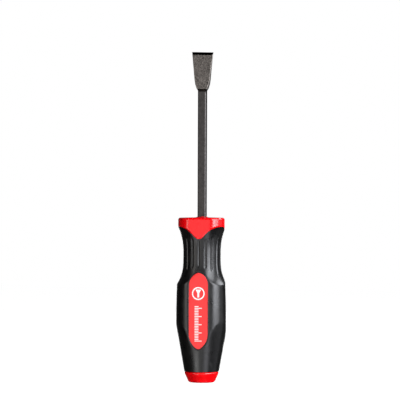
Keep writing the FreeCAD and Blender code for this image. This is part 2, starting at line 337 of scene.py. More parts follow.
def end_tree(tree, geometry, material):
    """Ends a tree as every one ends: brought to metres, made real, and given its material."""
    in_metres = add(tree, "GeometryNodeTransform", geometry, named={"Scale": (MM, MM, MM)})
    real = add(tree, "GeometryNodeRealizeInstances", in_metres)
    finished = add(tree, "GeometryNodeSetMaterial", real, named={"Material": material})
    add(tree, "NodeGroupOutput", finished)


def grown(name, tree, sizes, base=None):
    """Runs a tree once on a base mesh and gives the result as a plain mesh."""
    piece = keep(base or bpy.data.meshes.new(name), name)
    modifier = piece.modifiers.new("shape", "NODES")
    modifier.node_group = tree
    for socket in tree.interface.items_tree:
        if socket.in_out == "INPUT" and socket.name in sizes:
            modifier[socket.identifier] = sizes[socket.name]
    bpy.context.view_layer.update()
    evaluated = piece.evaluated_get(bpy.context.evaluated_depsgraph_get())
    mesh = bpy.data.meshes.new_from_object(evaluated)
    piece.modifiers.remove(modifier)
    bpy.data.objects.remove(piece)
    mesh.name = name
    return mesh


def lobe_nodes(tree, turn, flat, crest):
    """The three-lobed outline's radius at a turn from the middle of a flat."""
    off_flat = add(tree, MATH, turn, THIRD / 2, operation="PINGPONG")
    off_crest = add(tree, MATH, THIRD / 2, off_flat, operation="SUBTRACT")
    bulge = add(tree, MATH, crest, flat, operation="SUBTRACT")
    hub = add(tree, MATH, bulge, 2.0, operation="MULTIPLY")
    arc = add(tree, MATH, crest, hub, operation="SUBTRACT")
    cosine = add(tree, MATH, off_crest, operation="COSINE")
    sine = add(tree, MATH, off_crest, operation="SINE")
    along = add(tree, MATH, hub, cosine, operation="MULTIPLY")
    across = add(tree, MATH, hub, sine, operation="MULTIPLY")
    arc_squared = add(tree, MATH, arc, 2.0, operation="POWER")
    across_squared = add(tree, MATH, across, across, operation="MULTIPLY")
    reach_squared = add(tree, MATH, arc_squared, across_squared, operation="SUBTRACT")
    reach = add(tree, MATH, reach_squared, operation="SQRT")
    on_arc = add(tree, MATH, along, reach, operation="ADD")
    flat_cosine = add(tree, MATH, off_flat, operation="COSINE")
    on_flat = add(tree, MATH, flat, flat_cosine, operation="DIVIDE")
    slant = add(tree, MATH, off_flat, operation="TANGENT")
    offset = add(tree, MATH, flat, slant, operation="MULTIPLY")
    flat_half = add(tree, MATH, hub, math.sin(THIRD / 2), operation="MULTIPLY")
    within = add(tree, MATH, offset, flat_half, operation="LESS_THAN")
    extra = add(tree, MATH, on_flat, on_arc, operation="SUBTRACT")
    return add(tree, MATH, within, extra, on_arc, operation="MULTIPLY_ADD")


def growth_nodes(tree, distance, reach, power, rise):
    """Rise times (distance over reach) to a power, and nothing below zero."""
    ahead = add(tree, MATH, distance, 0.0, operation="MAXIMUM")
    share = add(tree, MATH, ahead, reach, operation="DIVIDE")
    raised = add(tree, MATH, share, power, operation="POWER")
    return add(tree, MATH, raised, rise, operation="MULTIPLY")


def barrel_nodes(tree, z, at_belly, upper_fall, lower_fall):
    """A barrel size that falls off from the belly by a square rule both ways."""
    z = add(tree, MATH, z, BARREL_TOP, operation="MINIMUM")
    above = add(tree, MATH, z, BELLY_HEIGHT, operation="SUBTRACT")
    below = add(tree, MATH, BELLY_HEIGHT, z, operation="SUBTRACT")
    up = growth_nodes(tree, above, UPPER_REACH, 2.0, upper_fall)
    down = growth_nodes(tree, below, LOWER_REACH, 2.0, lower_fall)
    less_up = add(tree, MATH, at_belly, up, operation="SUBTRACT")
    return add(tree, MATH, less_up, down, operation="SUBTRACT")


GRIP_SIZES = {
    "Columns": 252,
    "Outer rows": 210,
    "Inner rows": 40,
    "Belly flat": BELLY_FLAT,
    "Belly crest": BELLY_CREST,
    "Waist radius": WAIST_RADIUS,
    "Crease softness": CREASE_SOFTNESS,
    "Wall": GRIP_WALL,
    "Ribs": 18,
    "Groove depth": 0.45,
    "Groove share": 0.42,
    "Rib top": 88.6,
    "Rib bottom": 70.4,
    "Rib reach at lobes": 5.5,
    "Rib rise at lobes": 3.0,
    "Rib fade": 2.2,
    "Window roll": 0.25,
    "Window roll width": 0.9,
}


def grip_tree(outlines, cutters):
    """A wall woven round the handle: lobed barrel, tail cone and ribbed waist, cut by windows."""
    tree, given = start_tree("lobed_ribbed_grip", {**GRIP_SIZES, "Rubber": None})
    rows = add(tree, MATH, given["Outer rows"], given["Inner rows"], operation="ADD")
    lines = add(tree, MATH, rows, 1.0, operation="ADD")
    posts = add(tree, MATH, given["Columns"], 1.0, operation="ADD")
    grid = add(tree, "GeometryNodeMeshGrid", 1.0, 1.0, posts, lines)
    place = add(tree, "ShaderNodeSeparateXYZ", add(tree, "GeometryNodeInputPosition"))
    round_share = add(tree, MATH, place.outputs["X"], 0.5, operation="ADD")
    turn = add(tree, MATH, round_share, 2 * math.pi, operation="MULTIPLY")
    row_share = add(tree, MATH, place.outputs["Y"], 0.5, operation="ADD")
    row = add(tree, MATH, row_share, rows, operation="MULTIPLY")
    row = add(tree, MATH, row, operation="ROUND")

    # The outer wall climbs to the wavy joint, the inner wall comes down again, and the last row
    # meets the first.
    outer_last = add(tree, MATH, given["Outer rows"], 1.0, operation="SUBTRACT")
    inner_last = add(tree, MATH, given["Inner rows"], 1.0, operation="SUBTRACT")
    down_row = add(tree, MATH, row, given["Outer rows"], operation="SUBTRACT")
    up_share = add(tree, MATH, row, outer_last, operation="DIVIDE")
    down_share = add(tree, MATH, down_row, inner_last, operation="DIVIDE")
    down_left = add(tree, MATH, 1.0, down_share, operation="SUBTRACT", use_clamp=True)
    inside = add(tree, MATH, row, outer_last, operation="GREATER_THAN")
    before_last = add(tree, MATH, rows, 0.5, operation="SUBTRACT")
    closing = add(tree, MATH, row, before_last, operation="GREATER_THAN")
    inside = add(tree, MATH, inside, closing, operation="SUBTRACT")
    height_share = add(tree, "ShaderNodeMix", inside, up_share, down_left, data_type="FLOAT")
    still_open = add(tree, MATH, 1.0, closing, operation="SUBTRACT")
    height_share = add(tree, MATH, height_share, still_open, operation="MULTIPLY")

    joint_side = lobe_nodes(tree, turn, COLLAR_FLAT, COLLAR_CREST)
    joint_radius = add(tree, MATH, joint_side, COLLAR_PROUD, operation="SUBTRACT")
    joint_growth = add(tree, MATH, joint_radius, given["Waist radius"], operation="SUBTRACT")
    joint_rise = growth_nodes(tree, joint_growth, FLARE_RISE, 1 / FLARE_POWER, FLARE_REACH)
    climb = add(tree, MATH, joint_rise, WAIST_HEIGHT + JOINT_LIFT - TAIL_BASE, operation="ADD")
    z = add(tree, MATH, climb, height_share, TAIL_BASE, operation="MULTIPLY_ADD")

    # Outer radius: the smallest of cone, barrel and waist, with softened creases between them.
    flat = barrel_nodes(tree, z, given["Belly flat"], UPPER_FLAT_FALL, LOWER_FLAT_FALL)
    crest = barrel_nodes(tree, z, given["Belly crest"], UPPER_CREST_FALL, LOWER_CREST_FALL)
    barrel = lobe_nodes(tree, turn, flat, crest)
    above_base = add(tree, MATH, z, TAIL_BASE, operation="SUBTRACT")
    cone = add(tree, MATH, above_base, TAIL_SLOPE, TAIL_RADIUS, operation="MULTIPLY_ADD")
    below_waist = add(tree, MATH, WAIST_HEIGHT, z, operation="SUBTRACT")
    above_waist = add(tree, MATH, z, WAIST_HEIGHT, operation="SUBTRACT")
    shoulder = growth_nodes(tree, below_waist, SHOULDER_REACH, SHOULDER_POWER, SHOULDER_RISE)
    flare = growth_nodes(tree, above_waist, FLARE_REACH, FLARE_POWER, FLARE_RISE)
    waist = add(tree, MATH, given["Waist radius"], shoulder, operation="ADD")
    waist = add(tree, MATH, waist, flare, operation="ADD")
    soft = given["Crease softness"]
    radius = add(tree, MATH, cone, barrel, soft, operation="SMOOTH_MIN")
    radius = add(tree, MATH, radius, waist, soft, operation="SMOOTH_MIN")

    # Ribs: what stands between grooves set evenly round the waist, each fading out at both ends.
    # Beside the lobes they reach further, both up and down.
    pitch = add(tree, MATH, 2 * math.pi, given["Ribs"], operation="DIVIDE")
    half_pitch = add(tree, MATH, pitch, 0.5, operation="MULTIPLY")
    off_groove = add(tree, MATH, turn, half_pitch, operation="PINGPONG")
    off_share = add(tree, MATH, off_groove, half_pitch, operation="DIVIDE")
    smooth = {"data_type": "FLOAT", "interpolation_type": "SMOOTHSTEP"}
    groove = add(tree, "ShaderNodeMapRange", off_share, 0.0, given["Groove share"], 1.0, 0.0, **smooth)
    groove = add(tree, MATH, groove, given["Groove depth"], operation="MULTIPLY")
    off_flat = add(tree, MATH, turn, THIRD / 2, operation="PINGPONG")
    lobe_share = add(tree, MATH, off_flat, THIRD / 2, operation="DIVIDE")
    lobe_share = add(tree, MATH, lobe_share, 2.0, operation="POWER")
    reach = add(tree, MATH, lobe_share, given["Rib reach at lobes"], operation="MULTIPLY")
    rise = add(tree, MATH, lobe_share, given["Rib rise at lobes"], operation="MULTIPLY")
    foot = add(tree, MATH, given["Rib bottom"], reach, operation="SUBTRACT")
    top = add(tree, MATH, given["Rib top"], rise, operation="ADD")
    foot_end = add(tree, MATH, foot, given["Rib fade"], operation="ADD")
    head = add(tree, MATH, top, given["Rib fade"], operation="SUBTRACT")
    fade_in = add(tree, "ShaderNodeMapRange", z, foot, foot_end, 0.0, 1.0, **smooth)
    fade_out = add(tree, "ShaderNodeMapRange", z, head, top, 1.0, 0.0, **smooth)
    fade = add(tree, MATH, fade_in, fade_out, operation="MULTIPLY")
    cut = add(tree, MATH, groove, fade, operation="MULTIPLY")
    outer = add(tree, MATH, radius, cut, operation="SUBTRACT")
    inner = add(tree, MATH, radius, given["Wall"], operation="SUBTRACT")
    wall = add(tree, "ShaderNodeMix", inside, outer, inner, data_type="FLOAT")

    heading = add(tree, MATH, turn, math.pi / 2, operation="SUBTRACT")
    x = add(tree, MATH, wall, add(tree, MATH, heading, operation="COSINE"), operation="MULTIPLY")
    y = add(tree, MATH, wall, add(tree, MATH, heading, operation="SINE"), operation="MULTIPLY")
    spot = add(tree, "ShaderNodeCombineXYZ", x, y, z)
    woven = add(tree, "GeometryNodeSetPosition", grid, named={"Position": spot})
    closed = add(tree, "GeometryNodeMergeByDistance", woven, named={"Distance": 0.002})

    # The skin rolls down a little towards each window's outline before the window is cut.
    lines = add(tree, "GeometryNodeObjectInfo", named={"Object": outlines})
    near = add(tree, "GeometryNodeProximity", target_element="EDGES")
    tree.links.new(lines.outputs["Geometry"], near.inputs[0])
    roll = add(tree, "ShaderNodeMapRange", near.outputs["Distance"], 0.0, given["Window roll width"],
               given["Window roll"], 0.0, **smooth)
    normal = add(tree, "GeometryNodeInputNormal")
    inwards = add(tree, MATH, roll, -1.0, operation="MULTIPLY")
    shift = add(tree, "ShaderNodeVectorMath", normal, operation="SCALE", named={"Scale": inwards})
    rolled = add(tree, "GeometryNodeSetPosition", closed, named={"Offset": shift})
    blocks = add(tree, "GeometryNodeObjectInfo", named={"Object": cutters})
    cut_through = add(tree, "GeometryNodeMeshBoolean", rolled, blocks.outputs["Geometry"],
                      operation="DIFFERENCE", solver="EXACT")
    end_tree(tree, cut_through, given["Rubber"])
    return tree


BEAD_SIZES = {"Bead radius": 0.34, "Bead sides": 10, "Copies": 3}


def bead_tree():
    """A round bead run along a closed line, with copies turned evenly about the tool's axis."""
    tree, given = start_tree("window_beads", {**BEAD_SIZES, "Rubber": None})
    line = add(tree, "GeometryNodeMeshToCurve", given["Geometry"])
    circle = add(tree, "GeometryNodeCurvePrimitiveCircle", given["Bead sides"],
                 named={"Radius": given["Bead radius"]})
    bead = add(tree, "GeometryNodeCurveToMesh", line, circle)
    spots = add(tree, "GeometryNodeMeshLine", given["Copies"], named={"Offset": (0, 0, 0)})
    index = add(tree, "GeometryNodeInputIndex")
    step = add(tree, MATH, 2 * math.pi, given["Copies"], operation="DIVIDE")
    angle = add(tree, MATH, index, step, operation="MULTIPLY")
    turned = add(tree, "ShaderNodeCombineXYZ", 0.0, 0.0, angle)
    copies = add(tree, "GeometryNodeInstanceOnPoints", spots,
                 named={"Instance": bead, "Rotation": turned})
    end_tree(tree, copies, given["Rubber"])
    return tree


TICK_SIZES = {
    "Ticks": 22,
    "Pitch": 1.0,
    "Line": 0.45,
    "Short": 2.4,
    "Long": 4.4,
    "Long every": 5,
    "Thickness": 0.06,
}


def tick_tree():
    """A scale of short bars up the tool, every fifth one long, all starting on one edge."""
    tree, given = start_tree("tick_scale", {**TICK_SIZES, "Ink": None})
    climb = add(tree, "ShaderNodeCombineXYZ", 0.0, 0.0, given["Pitch"])
    spots = add(tree, "GeometryNodeMeshLine", given["Ticks"], named={"Offset": climb})
    index = add(tree, "GeometryNodeInputIndex")
    rest = add(tree, MATH, index, given["Long every"], operation="MODULO")
    is_long = add(tree, MATH, rest, 0.5, operation="LESS_THAN")
    length = add(tree, "ShaderNodeMix", is_long, given["Short"], given["Long"], data_type="FLOAT")
    size = add(tree, "ShaderNodeCombineXYZ", length, given["Thickness"], given["Line"])
    bar = add(tree, "GeometryNodeMeshCube", (1, 1, 1), 6, 2, 2)
    middle = add(tree, "GeometryNodeTransform", bar, named={"Translation": (0.5, 0, 0)})
    bars = add(tree, "GeometryNodeInstanceOnPoints", spots,
               named={"Instance": middle, "Scale": size})
    end_tree(tree, bars, given["Ink"])
    return tree


# Sub-parts ------------------------------------------------------------------------------------


def on_front(x, z, depth):
    """A point on the front flat, a depth under the grip's surface."""
    return (x, depth - front_depth(x, z), z)


def turned_about_axis(mesh, count=3):
    """The mesh, and copies of it turned evenly about the tool's axis."""
    copies = [mesh]
    for k in range(1, count):
        copy = mesh.copy()
        copy.transform(Matrix.Rotation(2 * math.pi * k / count, 4, "Z"))
        copies.append(copy)
    return copies


def joined(name, meshes):
    """Several meshes as one, keeping their materials."""
    work = bmesh.new()
    materials = []
    for mesh in meshes:
        start = len(work.faces)
        work.from_mesh(mesh)
        work.faces.ensure_lookup_table()
        for face in work.faces[start:]:
            material = mesh.materials[face.material_index]
            if material not in materials:
                materials.append(material)
            face.material_index = materials.index(material)
    whole = bpy.data.meshes.new(name)
    work.to_mesh(whole)
    work.free()
    for material in materials:
        whole.materials.append(material)
    return whole


def outline_ring(name, inset, depth):
    """A window's outline as a closed line of edges on the front flat, in millimetres."""
    points = [on_front(x, z, depth) for x, z in window_outline(inset)]
    edges = [(k, (k + 1) % len(points)) for k in range(len(points))]
    mesh = bpy.data.meshes.new(name)
    mesh.from_pydata(points, edges, [])
    return mesh


def window_block():
    """A block in the shape of a window, through the front wall, in millimetres."""
    outline = window_outline(0)
    near, far = 8.0, 20.0
    points = [(x, -near, z) for x, z in outline] + [(x, -far, z) for x, z in outline]
    count = len(outline)
    sides = [(k, (k + 1) % count, count + (k + 1) % count, count + k) for k in range(count)]
    mesh = bpy.data.meshes.new("window_block")
    mesh.from_pydata(points, [], sides + [tuple(range(count)), tuple(reversed(range(count, 2 * count)))])
    tidy(mesh)
    return mesh


def all_round(name, mesh):
    """A helper object with three turned copies of a mesh, used by a tree and then thrown away."""
    work = bmesh.new()
    for copy in turned_about_axis(mesh):
        work.from_mesh(copy)
    whole = bpy.data.meshes.new(name)
    work.to_mesh(whole)
    work.free()
    return keep(whole, name)


def make_grip(rubber):
    """The soft grip: the ribbed wall, and a bead of rubber pinched up round each window."""
    outlines = all_round("window_lines", outline_ring("window_line", 0, 0))
    cutters = all_round("window_blocks", window_block())
    wall = grown("grip_wall", grip_tree(outlines, cutters), {**GRIP_SIZES, "Rubber": rubber})
    for helper in (outlines, cutters):
        bpy.data.objects.remove(helper)
    bead_line = outline_ring("bead_line", -BEAD_OUTSET, BEAD_SUNK)
    beads = grown("grip_beads", bead_tree(), {**BEAD_SIZES, "Rubber": rubber}, bead_line)
    tidy(wall, sharp=50)
    tidy(beads)
    grip = keep(joined("soft_grip", [wall, beads]), "soft_grip")
    finish_piece(grip, "soft_grip", "grip_sleeve")


def panel_mesh(plastic):
    """A panel with a rolled edge, following the barrel a little below the grip's surface.

    Its rings are given by how far they are drawn in from the window and how deep they lie.
    """
    edge = ((0.02, 2.2), (0.02, 0.62), (0.07, 0.45), (0.19, 0.34), (0.36, PANEL_RECESS))
    face_insets = (1.0, 1.8, 2.8, 3.8, 4.8, 5.5, 5.98)
    stations = edge + tuple((inset, PANEL_RECESS) for inset in face_insets)
    rings = [[on_front(x, z, depth) for x, z in window_outline(inset)] for inset, depth in stations]
    return skin("panel", rings, plastic, sharp=70)


def make_panels(plastic):
    """The same panel on each of the three flats."""
    names = ("panel_front", "panel_right", "panel_left")
    for name, mesh in zip(names, turned_about_axis(panel_mesh(plastic))):
        panel = keep(mesh, name + "_moulding")
        finish_piece(panel, "red_matte", name)


def flat_ring(radius, line, height, thickness):
    """A flat printed ring, as rings of points for a closed loop skin."""
    steps = 72
    headings = [k * 2 * math.pi / steps for k in range(steps)]
    inner = radius - line
    rings = []
    for reach, lift in ((radius, 0), (radius, thickness), (inner, thickness), (inner, 0)):
        rings.append([(reach * math.cos(h), -lift, height + reach * math.sin(h)) for h in headings])
    return rings


def scraper_sign(height, thickness):
    """A small scraper sign: a flared edge on a narrow neck."""
    half_edge, half_neck, blade, length = 1.7, 0.55, 2.2, 4.8
    top = height + length / 2
    neck = top - blade
    right = [(half_edge, top), (half_neck, neck), (half_neck, top - length)]
    outline = right + [(-x, z) for x, z in reversed(right)]
    return [[(x, -lift, z) for x, z in outline] for lift in (0, thickness)]


def make_print(ink):
    """A ring round a scraper sign and a tick scale, laid on the front panel."""
    thickness, clear = TICK_SIZES["Thickness"], 0.01
    ring_radius, ring_line, ring_height = 3.9, 0.7, 55.0
    scale_low, scale_left = 26.0, -2.2
    circles = flat_ring(ring_radius, ring_line, ring_height, thickness)
    ring = skin("print_ring", circles, ink, closed_loop=True)
    sign = skin("print_sign", scraper_sign(ring_height, thickness), ink)
    ticks = grown("print_ticks", tick_tree(), {**TICK_SIZES, "Ink": ink})
    ticks.transform(Matrix.Translation(Vector((scale_left, -thickness / 2, scale_low)) * MM))
    whole = joined("panel_print", [ring, sign, ticks])
    for corner in whole.vertices:
        x, lift, z = corner.co / MM
        corner.co = Vector(on_front(x, z, PANEL_RECESS + lift + clear)) * MM
    tidy(whole)
    finish_piece(keep(whole, "panel_marks"), "white_ink", "panel_print")


def arc_steps(centre, radius, start, end, steps):
    """Points on an arc of a profile, as (radius, height) pairs, from one heading to another."""
    points = []
    for k in range(steps + 1):
        heading = math.radians(start + (end - start) * k / steps)
        points.append((centre[0] + radius * math.cos(heading), centre[1] + radius * math.sin(heading)))
    return points


def collar_turns():
    """Turns round the collar, closer together beside the moulding line on each flat."""
    fine = [math.radians(d) for d in (-1.8, -1.2, -0.7, -0.35, 0, 0.35, 0.7, 1.2, 1.8)]
    coarse = [math.radians(d) for d in range(4, 117, 2)]
    turns = []
    for lobe in range(3):
        turns += [lobe * THIRD + t for t in fine + coarse]
    return turns


def collar_profile(turn):
    """The collar's closed profile at a turn, as (radius, height) pairs."""
    side = lobe_radius(turn, COLLAR_FLAT, COLLAR_CREST)
    off_line = abs(math.degrees((turn + THIRD / 2) % THIRD - THIRD / 2))
    side += MOULD_LINE_RISE * max(0, 1 - off_line / MOULD_LINE_SPREAD)
    low = joint_height(turn) - 0.1
    top = COLLAR_TOP - FACE_FALL * (side - CUFF_RADIUS)
    straight_low, straight_high = low + COLLAR_LIP, top - COLLAR_RIM
    # Under the lip, and up its rounded edge
    profile = [(NOSE_RADIUS, low + 0.3), (side - 1.4, low + 0.3), (side - 0.9, low + 0.1)]
    profile += [(side - 0.42, low), (side - 0.27, low + 0.08), (side - 0.22, low + 0.16)]
    profile += [(side - 0.06, straight_low - 0.1), (side - 0.01, straight_low), (side, straight_low + 0.1)]
    # Up the side and over the rim
    for share in (0.08, 0.2, 0.4, 0.6, 0.8, 0.92):
        profile.append((side, straight_low + (straight_high - straight_low) * share))
    profile += arc_steps((side - COLLAR_RIM, straight_high), COLLAR_RIM, 0, 82, 8)
    # In along the face, up the small cuff round the shank, and down the bore
    for share in (0.15, 0.4, 0.7, 1.0):
        reach = side - COLLAR_RIM + (CUFF_RADIUS - side + COLLAR_RIM) * share
        fall = FACE_FALL * (reach - CUFF_RADIUS) + FACE_DOME * (1 - share)
        profile.append((reach, COLLAR_TOP - fall))
    profile += [(CUFF_RADIUS - 0.5, COLLAR_TOP + 0.05), (CUFF_RADIUS - 1, COLLAR_TOP + 0.25)]
    profile += [(COLLAR_BORE, COLLAR_TOP + CUFF_RISE), (COLLAR_BORE, COLLAR_BOTTOM)]
    profile.append((NOSE_RADIUS, COLLAR_BOTTOM))
    return profile


def make_collar(plastic):
    """The collar: wavy lower lip, three-lobed side, rounded rim, nearly flat face."""
    columns = []
    for turn in collar_turns():
        heading = turn - math.pi / 2
        columns.append([(r * math.cos(heading), r * math.sin(heading), z) for r, z in collar_profile(turn)])
    rings = [list(ring) for ring in zip(*columns)]
    mesh = skin("collar", rings, plastic, closed_loop=True, sharp=55)
    finish_piece(keep(mesh, "collar_moulding"), "red_gloss", "front_collar")


def cap_side(z):
    """Radius of the cap's cone at a height."""
    return CAP_CONE_RADIUS + CAP_CONE_SLOPE * z - CAP_CONE_BOW * z**2


def make_cap(plastic):
    """The end cap: a cone with rolled edges and a hollow spigot, turned about the axis."""
    foot, rim, wide, lean = CAP_FOOT_ROUND, CAP_RIM_ROUND, CAP_WIDE_RADIUS, CAP_LEAN
    profile = [(CENTRE_HOLE, 0.0), (3.0, 0.0), (5.4, 0.0)]
    profile += arc_steps((cap_side(foot) - foot, foot), foot, 270, 360 - lean, 7)
    profile += [(cap_side(z), z) for z in (2.0, 2.5, 3.0, 3.5, 4.0, 4.5, 5.0)]
    profile += arc_steps((wide - rim, TAIL_BASE - 0.1 - rim), rim, -lean, 80, 10)
    profile += [(wide - 1.5, TAIL_BASE - 0.04), (8.0, TAIL_BASE)]
    profile += [(SPIGOT_RADIUS, TAIL_BASE), (SPIGOT_RADIUS, SPIGOT_TOP - 0.4)]
    profile += [(SPIGOT_RADIUS - 0.3, SPIGOT_TOP), (SPIGOT_BORE + 0.2, SPIGOT_TOP)]
    profile += [(SPIGOT_BORE, SPIGOT_TOP - 0.4), (SPIGOT_BORE, CAP_FLOOR + 0.4)]
    profile += [(SPIGOT_BORE - 0.4, CAP_FLOOR), (CENTRE_HOLE, CAP_FLOOR)]
    steps = 120
    headings = [2 * math.pi * k / steps for k in range(steps)]
    rings = [[(r * math.cos(h), r * math.sin(h), z) for h in headings] for r, z in profile]
    mesh = skin("cap", rings, plastic, sharp=50)
    finish_piece(keep(mesh, "cap_moulding"), "red_gloss", "end_cap")


def bar_section(width, thickness, corner, roundness):
    """A rectangle with cut or rounded corners: roundness 1 gives a flat cut, 2 a round one."""
    side_steps, corner_steps = 20, 6
    points = []
    for quarter in range(4):
        across, along = (width / 2, thickness / 2) if quarter % 2 == 0 else (thickness / 2, width / 2)
        side = []
        for k in range(side_steps):
            side.append((across, (along - corner) * (2 * k / side_steps - 1)))
        for k in range(corner_steps):
            heading = math.pi / 2 * k / corner_steps
            c, s = math.cos(heading), math.sin(heading)
            size = (c**roundness + s**roundness) ** (1 / roundness)
            side.append((across - corner * (1 - c / size), along - corner * (1 - s / size)))
        c, s = math.cos(quarter * math.pi / 2), math.sin(quarter * math.pi / 2)
        points += [(x * c - y * s, x * s + y * c) for x, y in side]
    return points


def blade_width(z):
    """Width of the blade: quick round shoulders from the root, then straight flaring sides."""
    last_height, last_width = BLADE_SHOULDERS[-1]
    if z >= last_height:
        return last_width + BLADE_FLARE * (z - last_height)
    for (low, narrow), (high, wide) in zip(BLADE_SHOULDERS, BLADE_SHOULDERS[1:]):
        if z <= high:
            return narrow + (wide - narrow) * max(z - low, 0) / (high - low)


def blade_thickness(z):
    """Thickness of the blade: a small step at the root, then an even wedge."""
    step_low = BLADE_ROOT - 0.4
    if z < step_low + ROOT_STEP:
        share = max((z - step_low) / ROOT_STEP, 0)
        return SHANK_SIDE + (ROOT_THICKNESS - 0.15 - SHANK_SIDE) * share**2 * (3 - 2 * share)
    share = (z - BLADE_ROOT) / (TOOL_TOP - BEVEL_HEIGHT - BLADE_ROOT)
    return ROOT_THICKNESS + (FACE_TOP_THICKNESS - ROOT_THICKNESS) * min(share, 1)


def forged_lift(x, y, z):
    """How far forging leaves a face proud or hollow at a place, growing in above the root."""
    waviness, across, up = 0.05, 0.33, 0.24
    front_row, back_row = 3.0, 9.0
    grown_in = min(max(z - BLADE_ROOT - 0.6, 0) / 3, 1)
    return waviness * grown_in * noise.noise(Vector((x * across, z * up, front_row if y < 0 else back_row)))


def blade_ring(z):
    """One section of the blade, a little uneven from forging, with the bevel on the front.

    The edge is not quite square to the bar: the sections near it slant down to one side.
    """
    slant_reach = 8.0
    ground = max(z - (TOOL_TOP - BEVEL_HEIGHT), 0) / BEVEL_HEIGHT
    corner = BLADE_CORNER - (BLADE_CORNER - EDGE_CORNER) * min(ground * 3, 1)
    slant = EDGE_SLANT * max(0, 1 - (TOOL_TOP - z) / slant_reach)
    thickness, edge_half = blade_thickness(z), blade_width(TOOL_TOP) / 2
    ring = []
    for x, y in bar_section(blade_width(z), thickness, corner, 2):
        if y < 0:
            y += ground * (FACE_TOP_THICKNESS - EDGE_THICKNESS)
        face_share = min(abs(y) / (thickness / 2), 1) * (1 - ground)
        y += forged_lift(x, y, z) * face_share
        ring.append((x, y, z - slant * (x + edge_half)))
    return ring


def bar_rings():
    """Sections of the bar from the tang's point to just under the blade."""
    notched, nick = SHANK_SIDE - 2 * NOTCH_DEPTH, 0.05
    stations = [(TANG_BOTTOM, TANG_POINT, TANG_POINT)]
    stations.append((TANG_BOTTOM + TANG_POINT_LENGTH, SHANK_SIDE, SHANK_SIDE))
    for middle in NOTCH_HEIGHTS:
        low, high = middle - NOTCH_TALL / 2, middle + NOTCH_TALL / 2
        stations += [(low, SHANK_SIDE, SHANK_SIDE), (low + nick, notched, SHANK_SIDE)]
        stations += [(high - nick, notched, SHANK_SIDE), (high, SHANK_SIDE, SHANK_SIDE)]
    steps, shank_top = 40, BLADE_ROOT - 0.9
    for k in range(steps + 1):
        stations.append((SHANK_BOTTOM + (shank_top - SHANK_BOTTOM) * k / steps, SHANK_SIDE, SHANK_SIDE))
    rings = []
    for z, width, thickness in stations:
        corner = SHANK_CORNER * width / SHANK_SIDE
        rings.append([(x, y, z) for x, y in bar_section(width, thickness, corner, 1.12)])
    return rings


def blade_rings():
    """Sections of the blade from just under its root to the edge, closest at the shoulders."""
    shoulders_end, close, wide = 184, 0.22, 0.5
    bevel_foot = TOOL_TOP - BEVEL_HEIGHT
    rings = []
    z = BLADE_ROOT - 0.5
    while z < bevel_foot:
        rings.append(blade_ring(z))
        z += close if z < shoulders_end else wide
    for share in (0, 0.03, 0.33, 0.66, 1):
        rings.append(blade_ring(TOOL_TOP - BEVEL_HEIGHT * (1 - share)))
    return rings


def make_blade(bar_steel, face_steel, bevel_steel, root_shadow_steel):
    """The steel bar from its pointed tang to the blade's ground edge, in one skin."""
    mesh = skin("blade", bar_rings() + blade_rings(), bar_steel, sharp=32)
    for steel_skin in (face_steel, bevel_steel, root_shadow_steel):
        mesh.materials.append(steel_skin)
    bevel_foot = TOOL_TOP - BEVEL_HEIGHT - 0.35
    for face in mesh.polygons:
        z = face.center.z / MM
        # Faces of the front bevel get steel painted near black as a dark reflection
        if z > bevel_foot and face.normal.y < -0.2 and face.normal.z > 0.3:
            face.material_index = 2
        elif z > BLADE_ROOT + SHADOW_BAND_ABOVE_ROOT:
            face.material_index = 1
        # A band round the root, under the blasted face, is painted near black as shadow under the blade
        elif z > BLADE_ROOT - SHADOW_BAND_BELOW_ROOT:
            face.material_index = 3
    finish_piece(keep(mesh, "forged_blade"), "blackened_steel", "blade_shank")


def dress_core(plastic):
    """The hidden core keeps its own mesh and only gets its material."""
    for core_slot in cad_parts["handle_core"].material_slots:
        core_slot.material = plastic


# Materials ------------------------------------------------------------------------------------


def scale_for(size):
    """A pattern scale that makes its cells about a size, in millimetres."""
    return 1 / (size * MM)


def start_material(name):
    """An empty material; gives it, its tree and the place on the piece that patterns read."""
    material = bpy.data.materials.new(name)
    material.use_nodes = True
    material.node_tree.nodes.clear()
    place = add(material.node_tree, "ShaderNodeTexCoord").outputs["Object"]
    return material, material.node_tree, place


def end_material(material, surface):
    """Ends a material as every one ends: one shader with its inputs, straight to the output."""
    shader = add(material.node_tree, "ShaderNodeBsdfPrincipled", named=surface)
    add(material.node_tree, "ShaderNodeOutputMaterial", shader)
    return material


def gloss_red_plastic():
    """Polypropylene moulded against polished steel.

    Deep red through and through, with clean highlights that a faint orange peel softens, and hair
    scratches that only show inside a highlight.
    """
    material, tree, place = start_material("gloss_polypropylene_red")
    peel = add(tree, "ShaderNodeTexNoise", place, named={"Scale": scale_for(1.6), "Detail": 1.0})
    scuffs = add(tree, "ShaderNodeTexNoise", place,
                 named={"Scale": scale_for(4), "Detail": 8.0, "Roughness": 0.7})
    rough = add(tree, "ShaderNodeMapRange", scuffs, 0.35, 0.75, 0.15, 0.27)
    tone = add(tree, "ShaderNodeMix", scuffs, data_type="RGBA",
               named={"A": colour("e4040c"), "B": colour("ee050e")})
    skin_bump = add(tree, "ShaderNodeBump", named={"Strength": 0.25, "Distance": 0.02 * MM, "Height": peel})
    return end_material(material, {
        "Base Color": tone, "Roughness": rough, "IOR": 1.49, "Normal": skin_bump})


